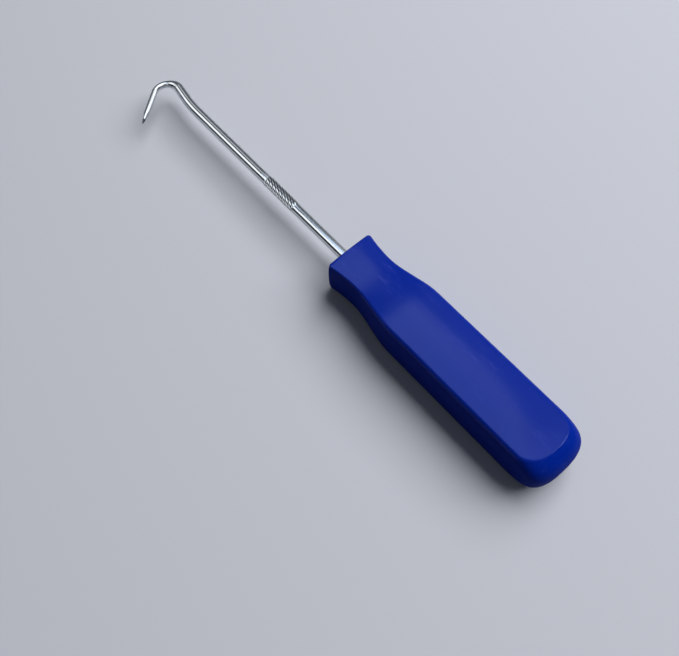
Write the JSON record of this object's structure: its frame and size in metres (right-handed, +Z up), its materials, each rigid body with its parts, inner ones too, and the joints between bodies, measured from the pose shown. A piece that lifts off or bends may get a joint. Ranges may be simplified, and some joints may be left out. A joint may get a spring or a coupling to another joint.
{
  "type": "hook tool",
  "caption": "Hook tool for picking out seals: a plated steel rod with a knurled band and a hooked point, moulded into a flat blue plastic handle with a narrow waist.",
  "frame": {"origin": "the middle of the handle's flat underside", "axes": "X runs from the handle to the hook, Y to the side that the hook's point reaches out to, Z up from the flat underside"},
  "size_m": [0.1588, 0.0232, 0.0139],
  "materials": {
    "handle_plastic": "moulded, slightly soft gloss",
    "plated_steel": "bright plated"
  },
  "bodies": {
    "root": {"handle": "handle_plastic", "hook_rod": "plated_steel"}
  },
  "joints": []
}
